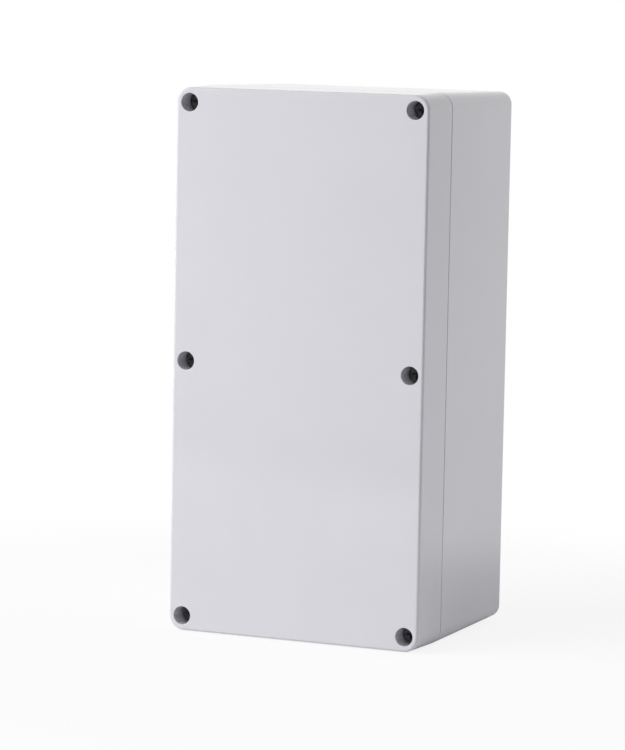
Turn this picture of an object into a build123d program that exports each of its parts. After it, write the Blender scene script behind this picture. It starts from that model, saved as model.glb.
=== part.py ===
"""A sealed wall-mounting electronics enclosure, moulded in light grey plastic.

A deep lid closes on a drafted base. Six captive screws sit in long channels outside the seal and hold in
brass inserts. The box stands on a short end: the lid faces -Y, the back lies at +Y, Z is up, and the origin
is at the bottom centre. All lengths are millimetres.
"""

import os
from math import radians, tan

from build123d import *

# Outside of the box, measured at the seam between lid and base, where it is widest
width = 120.0
height = 240.0
depth = 100.0
lid_depth = 25.2
draft = 1.0
corner_radius = 7.0
front_edge = 1.2
back_edge = 3.2
seam_edge = 0.25

# Shadow gap: the lid's rim stops short of the base, and the lid bears on the pillars and inside the seal
seam_gap = 0.4
seam_rim = 1.6

# Wall thicknesses
wall = 4.0
front_wall = 3.5
back_wall = 3.5

# Pillars for the lid screws, outside the seal
screw_inset_x = 6.8
screw_inset_z = 7.0
pillar_radius = 7.0
pocket_radius = 2.5
pocket_share = 0.9
floor_fillet = 1.0

# Channels for the wall screws, beside the corner pillars, and the relief pockets over them in the lid
fixing_pitch_x = 80.0
fixing_inset_z = 8.0
fixing_hole_radius = 2.4
fixing_head_radius = 4.2
fixing_web = 8.0
relief_radius = 3.0
relief_depth = 17.0

# Seal: a tongue on the base presses on a gasket in the lid's groove
groove_width = 2.0
groove_depth = 2.6
gasket_thickness = 1.5
tongue_width = 1.2
seal_side_gap = 0.05
seal_press_gap = 0.1

# Lid screws: each head sits deep in its channel, on a seat that the shank passes through
channel_radius = 4.0
channel_depth = 13.0
channel_mouth_edge = 0.25
head_gap = 0.35
head_height = 5.0
head_edge = 0.5
shank_radius = 2.0
shank_gap = 0.3
shank_reach = 10.5
tip_chamfer = 0.6
drive_width = 1.2
drive_length = 4.8
drive_depth = 2.2

# Brass inserts in the pillars
insert_radius = 3.0
insert_length = 8.0
insert_sink = 0.5
insert_gap = 0.05
insert_chamfer = 0.4
insert_groove_width = 1.6
insert_groove_depth = 0.3
thread_gap = 0.05
tip_room = 20.0

# Rings that keep the screws in the lid
ring_radius = 3.1
ring_thickness = 1.2
ring_gap = 0.1
ring_recess_depth = 1.4

# Bosses on the inside of the back wall
boss_height = 6.0
boss_floor = 1.5
boss_foot = 0.8
plate_boss_radius = 4.0
plate_hole_radius = 1.6
plate_pitch_x = 84.0
plate_pitch_z = 184.0
board_boss_radius = 3.2
board_hole_radius = 1.25
board_pitch_x = 60.0
board_pitch_z = 120.0

# Levels from front to back
front_y = -depth / 2
seam_y = front_y + lid_depth
back_y = depth / 2
front_inner_y = front_y + front_wall
back_inner_y = back_y - back_wall
base_depth = back_y - seam_y
boss_top_y = back_inner_y - boss_height

# Places across the box, from the middle of its height
screw_x = width / 2 - screw_inset_x
screw_z = height / 2 - screw_inset_z
fixing_z = height / 2 - fixing_inset_z
corner_block_width = width / 2 - fixing_pitch_x / 2 + pillar_radius
corner_block_height = max(screw_inset_z, fixing_inset_z) + pillar_radius
side_pillar_reach = screw_inset_x + pillar_radius
seal_centre = wall / 2
pocket_fillet = min(pocket_radius, pocket_share * (screw_inset_x - wall))
tongue_height = groove_depth - gasket_thickness - seal_press_gap

rows = {"top": 1, "middle": 0, "bottom": -1}
sides = {"left": -1, "right": 1}
screw_places = {
    f"{row}_{side}": (sides[side] * screw_x, rows[row] * screw_z)
    for row in rows
    for side in sides
}


def layer(y):
    """The plane across the box at depth y, seen from the lid: X to the right, Z up, from mid-height."""
    return Plane((0, y, height / 2), x_dir=(1, 0, 0), z_dir=(0, -1, 0))


def drawn_in(length):
    """How far the draft draws a wall in over this depth."""
    return length * tan(radians(draft))


def outside_at(y):
    """The outline of the box at depth y. The draft draws it in on both sides of the seam."""
    shrink = drawn_in(abs(y - seam_y))
    with BuildSketch(layer(y)) as outline:
        RectangleRounded(width - 2 * shrink, height - 2 * shrink, corner_radius - shrink)
    return outline.sketch


def inside_at(y, outset=0.0):
    """The outline of the clear space at depth y, grown by outset. It passes inside every pillar."""
    outset = outset - drawn_in(abs(y - seam_y))
    half_width = width / 2 - wall + outset
    half_height = height / 2 - wall + outset
    block_width = 2 * (corner_block_width - outset)
    block_height = 2 * (corner_block_height - outset)
    with BuildSketch(layer(y)) as outline:
        Rectangle(2 * half_width, 2 * half_height)
        with GridLocations(width, height, 2, 2):
            RectangleRounded(block_width, block_height, pillar_radius - outset, mode=Mode.SUBTRACT)
        with GridLocations(width, 0, 2, 1):
            SlotOverall(2 * (side_pillar_reach - outset), 2 * (pillar_radius - outset), mode=Mode.SUBTRACT)
        on_side_walls = outline.vertices().filter_by(lambda v: abs(abs(v.X) - half_width) < 0.001)
        on_end_walls = outline.vertices().filter_by(lambda v: abs(abs(v.Y) - half_height) < 0.001)
        fillet(on_side_walls + on_end_walls, pocket_fillet + outset)
    return outline.sketch


def seal_band(y, band_width):
    """A band of this width along the middle of the walls, round the clear space."""
    outer = inside_at(y, seal_centre + band_width / 2)
    inner = inside_at(y, seal_centre - band_width / 2)
    return outer - inner


# Base: a drafted shell with its pillars, channels, tongue and bosses in one moulding
with BuildPart() as base:
    loft(sections=[outside_at(seam_y), outside_at(back_y)], ruled=True)
    fillet(base.faces().sort_by(Axis.Y)[-1].edges(), back_edge)
    fillet(base.faces().sort_by(Axis.Y)[0].edges(), seam_edge)
    loft(sections=[inside_at(seam_y), inside_at(back_inner_y)], ruled=True, mode=Mode.SUBTRACT)
    cavity_floor = base.faces().filter_by(Axis.Y).sort_by(Axis.Y)[-2]
    fillet(cavity_floor.edges(), floor_fillet)
    extrude(seal_band(seam_y, tongue_width), amount=tongue_height)

    with BuildSketch(layer(back_inner_y)):
        with GridLocations(plate_pitch_x, plate_pitch_z, 2, 2):
            Circle(plate_boss_radius)
        with GridLocations(board_pitch_x, board_pitch_z, 2, 2):
            Circle(board_boss_radius)
    extrude(amount=boss_height)
    boss_feet = base.edges().filter_by(GeomType.CIRCLE).filter_by(
        lambda e: abs(e.bounding_box().min.Y - back_inner_y) < 0.001 and e.is_closed
    )
    fillet(boss_feet, boss_foot)

    boss_hole_depth = boss_height + back_wall - boss_floor
    with Locations(layer(boss_top_y)):
        with GridLocations(plate_pitch_x, plate_pitch_z, 2, 2):
            Hole(plate_hole_radius, boss_hole_depth)
        with GridLocations(board_pitch_x, board_pitch_z, 2, 2):
            Hole(board_hole_radius, boss_hole_depth)
    with Locations(layer(seam_y)):
        with GridLocations(fixing_pitch_x, 2 * fixing_z, 2, 2):
            CounterBoreHole(fixing_hole_radius, fixing_head_radius, base_depth - fixing_web, base_depth)
        with Locations(*screw_places.values()):
            CounterBoreHole(
                shank_radius + shank_gap,
                insert_radius + insert_gap,
                insert_sink + insert_length,
                tip_room,
            )
base.part.label = "base"

# Lid: a deep drafted cover with screw channels, ring recesses, relief pockets and the gasket groove
with BuildPart() as lid:
    loft(sections=[outside_at(seam_y - seam_gap), outside_at(front_y)], ruled=True)
    fillet(lid.faces().sort_by(Axis.Y)[0].edges(), front_edge)
    fillet(lid.faces().sort_by(Axis.Y)[-1].edges(), seam_edge)
    with BuildSketch(layer(seam_y)):
        RectangleRounded(width - 2 * seam_rim, height - 2 * seam_rim, corner_radius - seam_rim)
    extrude(amount=seam_gap)
    loft(sections=[inside_at(seam_y), inside_at(front_inner_y)], ruled=True, mode=Mode.SUBTRACT)
    cavity_roof = lid.faces().filter_by(Axis.Y).sort_by(Axis.Y)[1]
    fillet(cavity_roof.edges(), floor_fillet)
    extrude(seal_band(seam_y, groove_width), amount=groove_depth, mode=Mode.SUBTRACT)

    with Locations(layer(front_y)):
        with Locations(*screw_places.values()):
            CounterBoreHole(shank_radius + shank_gap, channel_radius, channel_depth, lid_depth)
    mouths = lid.edges().filter_by(GeomType.CIRCLE).filter_by(
        lambda e: abs(e.center().Y - front_y) < 0.001 and abs(e.radius - channel_radius) < 0.001
    )
    fillet(mouths, channel_mouth_edge)

    with BuildSketch(layer(seam_y)):
        with Locations(*screw_places.values()):
            Circle(ring_radius + ring_gap)
    extrude(amount=ring_recess_depth, mode=Mode.SUBTRACT)
    with BuildSketch(layer(seam_y)):
        with GridLocations(fixing_pitch_x, 2 * fixing_z, 2, 2):
            Circle(relief_radius)
    extrude(amount=relief_depth, mode=Mode.SUBTRACT)
lid.part.label = "lid"

# Gasket: one closed loop on the floor of the lid's groove
with BuildPart() as gasket:
    gasket_y = seam_y - groove_depth + gasket_thickness
    extrude(seal_band(seam_y, groove_width - 2 * seal_side_gap), amount=groove_depth)
    split(bisect_by=layer(gasket_y), keep=Keep.TOP)
gasket.part.label = "gasket"


def make_screw(x, z):
    """A lid screw: a cylinder head with a cross drive, then a plain shank."""
    head_radius = channel_radius - head_gap
    head_top = channel_depth - head_height
    tip = lid_depth + shank_reach
    axis_plane = Plane((x, front_y, height / 2 + z), x_dir=(1, 0, 0), z_dir=(0, 0, 1))
    with BuildPart() as screw:
        with BuildSketch(axis_plane) as profile:
            with BuildLine():
                Polyline(
                    (0, head_top),
                    (head_radius, head_top),
                    (head_radius, channel_depth),
                    (shank_radius, channel_depth),
                    (shank_radius, tip - tip_chamfer),
                    (shank_radius - tip_chamfer, tip),
                    (0, tip),
                    close=True,
                )
            make_face()
            fillet(profile.vertices().group_by(Axis.Y)[0].sort_by(Axis.X)[-1], head_edge)
        revolve(axis=Axis((x, front_y, height / 2 + z), (0, 1, 0)))
        with BuildSketch(layer(front_y + head_top)):
            with Locations((x, z)):
                Rectangle(drive_length, drive_width)
                Rectangle(drive_width, drive_length)
        extrude(amount=-drive_depth, mode=Mode.SUBTRACT)
    return screw.part


def make_insert(x, z):
    """A brass insert with a plain bore, chamfered ends and a groove round its middle."""
    top_y = seam_y + insert_sink
    with BuildPart() as insert:
        with BuildSketch(layer(top_y)):
            with Locations((x, z)):
                Circle(insert_radius)
        extrude(amount=-insert_length)
        chamfer(insert.edges().filter_by(GeomType.CIRCLE), insert_chamfer)
        with BuildSketch(layer(top_y + (insert_length - insert_groove_width) / 2)):
            with Locations((x, z)):
                Circle(insert_radius)
                Circle(insert_radius - insert_groove_depth, mode=Mode.SUBTRACT)
        extrude(amount=-insert_groove_width, mode=Mode.SUBTRACT)
        with BuildSketch(layer(top_y)):
            with Locations((x, z)):
                Circle(shank_radius + thread_gap)
        extrude(amount=-insert_length, mode=Mode.SUBTRACT)
    return insert.part


def make_ring(x, z):
    """A flat ring round the shank, in the recess under the lid."""
    with BuildPart() as ring:
        with BuildSketch(layer(seam_y - ring_recess_depth + ring_thickness)):
            with Locations((x, z)):
                Circle(ring_radius)
                Circle(shank_radius + thread_gap, mode=Mode.SUBTRACT)
        extrude(amount=ring_thickness)
    return ring.part


pieces = {"base": base.part, "lid": lid.part, "gasket": gasket.part}
for place, (place_x, place_z) in screw_places.items():
    pieces[f"lid_screw_{place}"] = make_screw(place_x, place_z)
    pieces[f"threaded_insert_{place}"] = make_insert(place_x, place_z)
    pieces[f"retaining_ring_{place}"] = make_ring(place_x, place_z)

os.makedirs("parts", exist_ok=True)
for name, piece in pieces.items():
    piece.label = name
    export_step(piece, f"parts/{name}.step")
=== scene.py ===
"""Looks for the electronics enclosure: moulded plastic, dark screws, foam seal, brass and soft light."""

import math

import bmesh
import bpy
from mathutils import Matrix, Vector


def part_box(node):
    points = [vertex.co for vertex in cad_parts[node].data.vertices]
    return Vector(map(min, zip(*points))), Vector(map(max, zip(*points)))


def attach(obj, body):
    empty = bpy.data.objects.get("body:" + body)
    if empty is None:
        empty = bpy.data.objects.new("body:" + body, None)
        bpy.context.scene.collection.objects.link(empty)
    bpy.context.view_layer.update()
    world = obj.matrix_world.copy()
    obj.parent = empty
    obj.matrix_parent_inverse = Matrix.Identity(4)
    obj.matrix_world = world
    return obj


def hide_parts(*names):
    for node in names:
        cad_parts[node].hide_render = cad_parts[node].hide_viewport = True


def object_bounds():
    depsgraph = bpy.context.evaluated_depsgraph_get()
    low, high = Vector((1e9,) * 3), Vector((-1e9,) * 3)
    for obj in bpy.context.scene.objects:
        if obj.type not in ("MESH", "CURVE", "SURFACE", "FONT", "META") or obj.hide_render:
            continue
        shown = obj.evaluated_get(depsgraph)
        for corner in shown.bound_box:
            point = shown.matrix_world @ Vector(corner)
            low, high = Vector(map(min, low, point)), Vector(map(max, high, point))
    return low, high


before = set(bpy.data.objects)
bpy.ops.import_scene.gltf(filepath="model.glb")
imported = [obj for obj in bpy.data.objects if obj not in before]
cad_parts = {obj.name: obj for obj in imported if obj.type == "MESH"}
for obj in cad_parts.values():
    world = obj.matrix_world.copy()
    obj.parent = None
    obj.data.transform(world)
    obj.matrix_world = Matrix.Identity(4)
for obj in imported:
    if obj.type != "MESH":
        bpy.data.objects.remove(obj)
cad_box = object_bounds()

PLACES = [f"{row}_{side}" for row in ("top", "middle", "bottom") for side in ("left", "right")]

# The photograph's height, and the camera fitted to the outline, the seam and the six screw holes
PHOTO_HEIGHT_PX = 750
FOCAL_PX = 3778.6
CAMERA_YAW = math.radians(-24.26)
CAMERA_PITCH = math.radians(6.33)
CAMERA_ROLL = math.radians(1.10)
# The middle of the lid's face as the camera sees it: metres to the right, down and ahead
FACE_FROM_CAMERA = Vector((-0.00706, -0.00295, 1.63279))
SENSOR_MM = 36.0
CLIP_NEAR = 0.05
CLIP_FAR = 20.0

# Housing: the scales of its clouding, its change of gloss and its orange peel are in waves a metre
HOUSING_LIGHT = (0.635, 0.629, 0.668)
HOUSING_DEEP = (0.620, 0.614, 0.652)
HOUSING_ROUGHNESS = (0.09, 0.11)
CLOUD_SCALE = 28.0
GLOSS_SCALE = 60.0
PEEL_SCALE = 700.0
PEEL_STRENGTH = 0.04
PEEL_DISTANCE = 0.0001

# The other materials: the two colours that each is mottled between
SCREW_LIGHT = (0.110, 0.110, 0.113)
SCREW_DEEP = (0.085, 0.085, 0.088)
FOAM_LIGHT = (0.050, 0.050, 0.052)
FOAM_DEEP = (0.016, 0.016, 0.017)
RUBBER_LIGHT = (0.022, 0.022, 0.022)
RUBBER_DEEP = (0.010, 0.010, 0.010)
BRASS_LIGHT = (0.72, 0.50, 0.20)
BRASS_DEEP = (0.56, 0.37, 0.13)


# Material tools
def new_material(name):
    """A node material, with its tree and its shader."""
    material = bpy.data.materials.new(name)
    material.use_nodes = True
    return material, material.node_tree, material.node_tree.nodes["Principled BSDF"]


def noise(tree, place, scale, detail=2.0, roughness=0.5):
    """A noise value over the surface, with scale in waves a metre."""
    texture = tree.nodes.new("ShaderNodeTexNoise")
    texture.inputs["Scale"].default_value = scale
    texture.inputs["Detail"].default_value = detail
    texture.inputs["Roughness"].default_value = roughness
    tree.links.new(place, texture.inputs["Vector"])
    return texture.outputs["Fac"]


def ranged(tree, value, low, high, start=0.25, end=0.75, smooth=False):
    """The value spread from low at start to high at end."""
    spread = tree.nodes.new("ShaderNodeMapRange")
    if smooth:
        spread.interpolation_type = "SMOOTHSTEP"
    spread.inputs["From Min"].default_value = start
    spread.inputs["From Max"].default_value = end
    spread.inputs["To Min"].default_value = low
    spread.inputs["To Max"].default_value = high
    tree.links.new(value, spread.inputs["Value"])
    return spread.outputs["Result"]


def mixed_colour(tree, factor, first, second):
    """A colour between two, by a factor."""
    mix = tree.nodes.new("ShaderNodeMix")
    mix.data_type = "RGBA"
    mix.inputs["A"].default_value = (*first, 1.0)
    mix.inputs["B"].default_value = (*second, 1.0)
    tree.links.new(factor, mix.inputs["Factor"])
    return mix.outputs["Result"]


def bumped(tree, shader, height, strength, distance):
    """The shader's normal, bumped by a height."""
    bump = tree.nodes.new("ShaderNodeBump")
    bump.inputs["Strength"].default_value = strength
    bump.inputs["Distance"].default_value = distance
    tree.links.new(height, bump.inputs["Height"])
    tree.links.new(bump.outputs["Normal"], shader.inputs["Normal"])


def mottled(name, scale, colours, roughness, relief, metallic=0.0):
    """A material whose colour, roughness and relief, a bump's strength and distance, follow one noise."""
    material, tree, shader = new_material(name)
    shader.inputs["Metallic"].default_value = metallic
    place = tree.nodes.new("ShaderNodeTexCoord").outputs["Object"]
    grain = noise(tree, place, scale, detail=3.0, roughness=0.6)
    tree.links.new(mixed_colour(tree, ranged(tree, grain, 0.0, 1.0), *colours), shader.inputs["Base Color"])
    tree.links.new(ranged(tree, grain, *roughness), shader.inputs["Roughness"])
    bumped(tree, shader, grain, *relief)
    return material


def housing_plastic():
    """Smooth light grey moulding, with a faint clouding and a very fine orange peel."""
    material, tree, shader = new_material("housing_plastic")
    place = tree.nodes.new("ShaderNodeTexCoord").outputs["Object"]
    cloud = noise(tree, place, CLOUD_SCALE, detail=3.0)
    colour = mixed_colour(tree, ranged(tree, cloud, 0.0, 1.0), HOUSING_LIGHT, HOUSING_DEEP)
    tree.links.new(colour, shader.inputs["Base Color"])
    gloss = ranged(tree, noise(tree, place, GLOSS_SCALE), *HOUSING_ROUGHNESS)
    tree.links.new(gloss, shader.inputs["Roughness"])
    bumped(tree, shader, noise(tree, place, PEEL_SCALE), PEEL_STRENGTH, PEEL_DISTANCE)
    return material


def screw_plastic():
    """Dark grey polyamide with a dull moulded grain."""
    return mottled("screw_polyamide", scale=1800.0, colours=(SCREW_LIGHT, SCREW_DEEP),
                   roughness=(0.46, 0.58), relief=(0.2, 0.0001))


def foam_rubber():
    """Dark grey foamed seal with fine open cells."""
    return mottled("seal_foam", scale=2600.0, colours=(FOAM_LIGHT, FOAM_DEEP),
                   roughness=(0.7, 0.9), relief=(0.6, 0.0003))


def ring_rubber():
    """Black rubber with a faint bloom."""
    return mottled("ring_rubber", scale=700.0, colours=(RUBBER_LIGHT, RUBBER_DEEP),
                   roughness=(0.5, 0.65), relief=(0.15, 0.0001))


def turned_brass():
    """Brass with a light tarnish, dulled by the lathe tool."""
    return mottled("turned_brass", scale=400.0, colours=(BRASS_LIGHT, BRASS_DEEP),
                   roughness=(0.22, 0.38), relief=(0.1, 0.00005), metallic=1.0)


def dress(node_name, material):
    """Gives a CAD node its material."""
    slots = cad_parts[node_name].data.materials
    slots.clear()
    slots.append(material)


# Screws: a cylinder head with a tapered cross recess, a plain neck and a rolled thread
HEAD_HEIGHT = 0.0050
HEAD_EDGE = 0.0005
HEAD_FOOT_EDGE = 0.0002
EDGE_STEPS = 5
NECK_RADIUS = 0.00185
NECK_LENGTH = 0.0080
NECK_FILLET = 0.0003
THREAD_RADIUS = 0.0020
THREAD_DEPTH = 0.00038
THREAD_PITCH = 0.0007
THREAD_STEPS = 8
THREAD_RUNOUT = 0.0008
THREAD_CREST_GAIN = 1.25
TIP_RADIUS = 0.0012
TIP_LENGTH = 0.0006
TURN_STEPS = 64
RECESS_REACH = 0.0024
RECESS_HALF_WIDTH = 0.0006
RECESS_DEPTH = 0.0022
RECESS_TAPER = 0.55
RECESS_POINT = 0.25
CREASE_ANGLE = math.radians(32)


def thread_ridge(turned, along, start, end):
    """The thread's height at this turn and this distance along the shank, fading in and out at its ends."""
    wave = (along / THREAD_PITCH - turned) % 1.0
    ridge = 1.0 - abs(2.0 * wave - 1.0)
    ridge = min(1.0, THREAD_CREST_GAIN * ridge)
    fade = min(1.0, (along - start) / THREAD_RUNOUT, (end - along) / THREAD_RUNOUT)
    return ridge * max(0.0, fade)


def screw_rows(head_radius, length):
    """The screw's rings from the top of its head to its tip: distance along the axis, radius and thread."""
    rows = []
    for step in range(EDGE_STEPS + 1):
        angle = math.pi / 2 * step / EDGE_STEPS
        radius = head_radius - HEAD_EDGE * (1 - math.sin(angle))
        rows.append((HEAD_EDGE * (1 - math.cos(angle)), radius, False))
    rows.append((HEAD_HEIGHT - HEAD_FOOT_EDGE, head_radius, False))
    rows.append((HEAD_HEIGHT, head_radius - HEAD_FOOT_EDGE, False))
    rows.append((HEAD_HEIGHT, NECK_RADIUS + NECK_FILLET, False))
    rows.append((HEAD_HEIGHT + NECK_FILLET, NECK_RADIUS, False))
    start = HEAD_HEIGHT + NECK_LENGTH
    end = length - TIP_LENGTH
    step_length = THREAD_PITCH / THREAD_STEPS
    for step in range(int((end - start) / step_length) + 1):
        rows.append((start + step * step_length, THREAD_RADIUS - THREAD_DEPTH, True))
    rows.append((end, THREAD_RADIUS - THREAD_DEPTH, False))
    rows.append((length, TIP_RADIUS, False))
    return rows, start, end


def cross_outline(share):
    """The cross recess as a loop of points across the axis, drawn in to this share of its reach."""
    reach = RECESS_REACH * share
    half = RECESS_HALF_WIDTH * (1 + share) / 2
    loop = []
    for quarter in range(4):
        turn = Matrix.Rotation(quarter * math.pi / 2, 2)
        for point in ((reach, -half), (reach + half * RECESS_POINT, 0.0), (reach, half), (half, half)):
            loop.append(turn @ Vector(point))
    return loop


def screw_mesh(name, low, high):
    """A screw in the place of its CAD node, with its axis along Y."""
    axis_x = (low.x + high.x) / 2
    axis_z = (low.z + high.z) / 2
    rows, start, end = screw_rows((high.x - low.x) / 2, high.y - low.y)
    mesh = bmesh.new()

    def vertex(x, z, along):
        return mesh.verts.new((axis_x + x, low.y + along, axis_z + z))

    rings = []
    for along, radius, threaded in rows:
        ring = []
        for step in range(TURN_STEPS):
            turned = step / TURN_STEPS
            grown = THREAD_DEPTH * thread_ridge(turned, along, start, end) if threaded else 0.0
            angle = 2 * math.pi * turned
            ring.append(vertex((radius + grown) * math.cos(angle), (radius + grown) * math.sin(angle), along))
        rings.append(ring)
    for upper, lower in zip(rings, rings[1:]):
        for step in range(TURN_STEPS):
            following = (step + 1) % TURN_STEPS
            mesh.faces.new((upper[step], upper[following], lower[following], lower[step]))
    mesh.faces.new(rings[-1])

    mouth = [vertex(point.x, point.y, 0.0) for point in cross_outline(1.0)]
    floor = [vertex(point.x, point.y, RECESS_DEPTH) for point in cross_outline(RECESS_TAPER)]
    for index in range(len(mouth)):
        following = (index + 1) % len(mouth)
        mesh.faces.new((mouth[index], mouth[following], floor[following], floor[index]))
    mesh.faces.new(floor)
    loops = []
    for ring in (rings[0], mouth):
        for index in range(len(ring)):
            pair = (ring[index], ring[(index + 1) % len(ring)])
            loops.append(mesh.edges.get(pair))
    bmesh.ops.triangle_fill(mesh, use_beauty=True, edges=loops)
    bmesh.ops.recalc_face_normals(mesh, faces=mesh.faces)
    return finished(name, mesh)


def finished(name, mesh):
    """An object in the scene from this mesh, smooth but for its creases."""
    data = bpy.data.meshes.new(name)
    mesh.to_mesh(data)
    mesh.free()
    for face in data.polygons:
        face.use_smooth = True
    data.set_sharp_from_angle(angle=CREASE_ANGLE)
    piece = bpy.data.objects.new(name, data)
    bpy.context.scene.collection.objects.link(piece)
    return piece


# Seal: the CAD loop with the rounded shoulders of a foamed bead
BEAD_ROUNDING = 0.00035
BEAD_STEPS = 4
BEAD_CORNER = math.radians(50)
FLAT_ANGLE = math.radians(0.5)
MERGE_DISTANCE = 1e-6


def foam_bead(name, node_name):
    """The gasket's loop, rounded along its edges."""
    mesh = bmesh.new()
    mesh.from_mesh(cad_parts[node_name].data)
    bmesh.ops.remove_doubles(mesh, verts=mesh.verts, dist=MERGE_DISTANCE)
    bmesh.ops.dissolve_limit(mesh, angle_limit=FLAT_ANGLE, verts=mesh.verts, edges=mesh.edges)
    shoulders = [edge for edge in mesh.edges if edge.calc_face_angle(0.0) > BEAD_CORNER]
    bmesh.ops.bevel(mesh, geom=shoulders, offset=BEAD_ROUNDING, segments=BEAD_STEPS, affect="EDGES",
                    profile=0.5)
    bmesh.ops.triangulate(mesh, faces=[face for face in mesh.faces if len(face.verts) > 4])
    return finished(name, mesh)


housing = housing_plastic()
for moulding in ("base", "lid"):
    dress(moulding, housing)

foam = foam_rubber()
bead = foam_bead("gasket_bead", "gasket")
bead.data.materials.append(foam)
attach(bead, "lid")
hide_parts("gasket")

screw_paint = screw_plastic()
brass = turned_brass()
rubber = ring_rubber()
for place in PLACES:
    screw = screw_mesh(f"screw_{place}", *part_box(f"lid_screw_{place}"))
    screw.data.materials.append(screw_paint)
    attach(screw, f"screw_{place}")
    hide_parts(f"lid_screw_{place}")
    dress(f"threaded_insert_{place}", brass)
    dress(f"retaining_ring_{place}", rubber)


# Camera
def camera_axes():
    """The camera's axes as rows: right, down and ahead."""
    upright = Matrix(((1, 0, 0), (0, 0, -1), (0, 1, 0)))
    turn = Matrix.Rotation(CAMERA_YAW, 3, "Z")
    tip = Matrix.Rotation(CAMERA_PITCH, 3, "X")
    roll = Matrix.Rotation(CAMERA_ROLL, 3, "Z")
    return roll @ tip @ upright @ turn


lid_low, lid_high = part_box("lid")
face_centre = Vector((0.0, lid_low.y, (lid_low.z + lid_high.z) / 2))
axes = camera_axes()
right, down, ahead = axes[0], axes[1], axes[2]
camera_data = bpy.data.cameras.new("camera")
camera_data.sensor_fit = "AUTO"
camera_data.sensor_width = SENSOR_MM
camera_data.lens = FOCAL_PX * SENSOR_MM / PHOTO_HEIGHT_PX
camera_data.clip_start = CLIP_NEAR
camera_data.clip_end = CLIP_FAR
camera = bpy.data.objects.new("camera", camera_data)
bpy.context.scene.collection.objects.link(camera)
placed = Matrix((right, -down, -ahead)).transposed().to_4x4()
placed.translation = face_centre - axes.transposed() @ FACE_FROM_CAMERA
camera.matrix_world = placed
bpy.context.scene.camera = camera

# Studio: a white table whose front edge lies across the camera's line of sight, over a darker floor
TABLE_AHEAD = 0.356
TABLE_SIZE = 6.0
TABLE_COLOUR = (0.86, 0.86, 0.87)
TABLE_NEAR_SHARE = 0.85
TABLE_FADE_SHIFT = 0.035
TABLE_FADE_START = 0.205
TABLE_FADE_END = 0.385
FLOOR_DROP = 0.75
FLOOR_COLOUR = (0.30, 0.30, 0.31)
MATT_ROUGHNESS = 0.9
WHITE_LEVEL = 1.0


def toward(azimuth, elevation):
    """The direction at that azimuth and elevation."""
    a = math.radians(azimuth)
    e = math.radians(elevation)
    return Vector((math.sin(a) * math.cos(e), -math.cos(a) * math.cos(e), math.sin(e)))


def flat_stage(name, corners, material, seen):
    """A flat part of the studio."""
    data = bpy.data.meshes.new(name)
    data.from_pydata(corners, [], [(0, 1, 2, 3)])
    data.materials.append(material)
    thing = bpy.data.objects.new(name, data)
    thing.visible_camera = seen
    bpy.context.scene.collection.objects.link(thing)


def matt_material(name, colour):
    """A matt material of one colour, with its tree and its shader."""
    material, tree, shader = new_material(name)
    shader.inputs["Base Color"].default_value = (*colour, 1.0)
    shader.inputs["Roughness"].default_value = MATT_ROUGHNESS
    return material, tree, shader


def total(tree, *terms):
    """The sum of some values."""
    result = terms[0]
    for term in terms[1:]:
        added = tree.nodes.new("ShaderNodeMath")
        added.operation = "ADD"
        tree.links.new(result, added.inputs[0])
        tree.links.new(term, added.inputs[1])
        result = added.outputs["Value"]
    return result


def background_rays(tree):
    """1 for the rays that show the background as white: the camera's, and those sent on by gloss or glass."""
    path = tree.nodes.new("ShaderNodeLightPath").outputs
    return total(tree, path["Is Camera Ray"], path["Is Glossy Ray"], path["Is Transmission Ray"])


def table_white(centre):
    """White that takes real light and shadow near the object, and is plain background further off."""
    material, tree, shader = matt_material("table_white", TABLE_COLOUR)
    shader.inputs["Specular IOR Level"].default_value = 0.0
    distance = tree.nodes.new("ShaderNodeVectorMath")
    distance.operation = "DISTANCE"
    distance.inputs[1].default_value = centre
    tree.links.new(tree.nodes.new("ShaderNodeTexCoord").outputs["Object"], distance.inputs[0])
    fade = ranged(tree, distance.outputs["Value"], 0.0, 1.0, TABLE_FADE_START, TABLE_FADE_END, smooth=True)
    near = tree.nodes.new("ShaderNodeMath")
    near.operation = "MULTIPLY"
    near.inputs[1].default_value = TABLE_NEAR_SHARE
    tree.links.new(tree.nodes.new("ShaderNodeLightPath").outputs["Is Camera Ray"], near.inputs[0])
    share = tree.nodes.new("ShaderNodeMix")
    tree.links.new(fade, share.inputs["Factor"])
    tree.links.new(near.outputs["Value"], share.inputs["A"])
    tree.links.new(background_rays(tree), share.inputs["B"])
    white = tree.nodes.new("ShaderNodeEmission")
    white.inputs["Strength"].default_value = WHITE_LEVEL
    blend = tree.nodes.new("ShaderNodeMixShader")
    tree.links.new(share.outputs["Result"], blend.inputs["Fac"])
    tree.links.new(shader.outputs["BSDF"], blend.inputs[1])
    tree.links.new(white.outputs["Emission"], blend.inputs[2])
    tree.links.new(blend.outputs["Shader"], tree.nodes["Material Output"].inputs["Surface"])
    return material


sight = Vector((ahead.x, ahead.y, 0.0)).normalized()
across = Vector((-sight.y, sight.x, 0.0))
front_middle = Vector((face_centre.x, face_centre.y, cad_box[0].z)) - sight * TABLE_AHEAD
far_middle = front_middle + sight * TABLE_SIZE
table_corners = [
    front_middle - across * TABLE_SIZE,
    front_middle + across * TABLE_SIZE,
    far_middle + across * TABLE_SIZE,
    far_middle - across * TABLE_SIZE,
]
fade_centre = Vector((0.0, 0.0, cad_box[0].z)) + toward(math.degrees(CAMERA_YAW), 0) * TABLE_FADE_SHIFT
flat_stage("table", table_corners, table_white(fade_centre), True)

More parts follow.
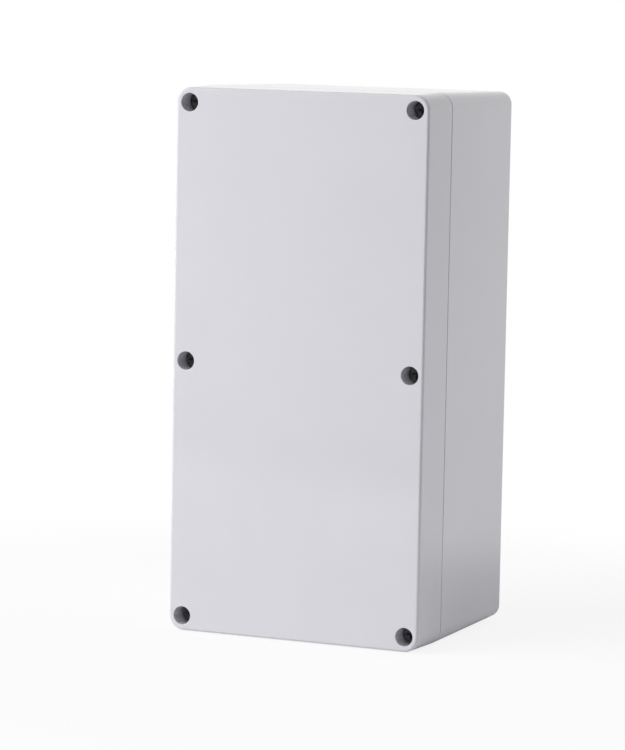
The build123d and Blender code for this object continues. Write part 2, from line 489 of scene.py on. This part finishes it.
floor_z = cad_box[0].z - FLOOR_DROP
floor_corners = [
    (-TABLE_SIZE, -TABLE_SIZE, floor_z),
    (TABLE_SIZE, -TABLE_SIZE, floor_z),
    (TABLE_SIZE, TABLE_SIZE, floor_z),
    (-TABLE_SIZE, TABLE_SIZE, floor_z),
]
flat_stage("studio_floor", floor_corners, matt_material("studio_floor", FLOOR_COLOUR)[0], False)

# Lamps about the middle of the object: azimuth from the lid's normal towards +X, and elevation, in degrees,
# then distance, width and height in metres, and radiance
LAMPS = {
    "key_left": (-45, 30, 1.5, 1.6, 1.4, 3.52),
    "low_left": (-50, 8, 1.5, 1.2, 0.6, 2.30),
    "back_right": (130, 20, 1.4, 1.2, 1.0, 1.88),
    "back": (180, 35, 1.5, 1.2, 1.0, 1.25),
}
AMBIENT_LEVEL = 0.20
object_middle = (cad_box[0] + cad_box[1]) / 2

for lamp_name, (azimuth, elevation, distance, width, height, radiance) in LAMPS.items():
    lamp_data = bpy.data.lights.new(lamp_name, "AREA")
    lamp_data.shape = "RECTANGLE"
    lamp_data.size = width
    lamp_data.size_y = height
    lamp_data.energy = radiance * math.pi * width * height
    lamp = bpy.data.objects.new(lamp_name, lamp_data)
    bpy.context.scene.collection.objects.link(lamp)
    lamp.location = object_middle + toward(azimuth, elevation) * distance
    lamp.rotation_mode = "QUATERNION"
    lamp.rotation_quaternion = (-toward(azimuth, elevation)).to_track_quat("-Z", "Y")
    lamp.visible_camera = False
    # The gloss mirrors the white surroundings and not the lamps
    lamp.visible_glossy = False


def background(tree, strength):
    """A white background of that strength."""
    node = tree.nodes.new("ShaderNodeBackground")
    node.inputs["Color"].default_value = (1.0, 1.0, 1.0, 1.0)
    node.inputs["Strength"].default_value = strength
    return node.outputs["Background"]


# World: it lights the object at the ambient level, and shows itself as white
world = bpy.data.worlds.new("studio")
bpy.context.scene.world = world
world.use_nodes = True
sky = world.node_tree
sky.nodes.clear()
pick = sky.nodes.new("ShaderNodeMixShader")
sky.links.new(background_rays(sky), pick.inputs["Fac"])
sky.links.new(background(sky, AMBIENT_LEVEL), pick.inputs[1])
sky.links.new(background(sky, WHITE_LEVEL), pick.inputs[2])
output = sky.nodes.new("ShaderNodeOutputWorld")
sky.links.new(pick.outputs["Shader"], output.inputs["Surface"])

bpy.context.scene.view_settings.view_transform = "Standard"
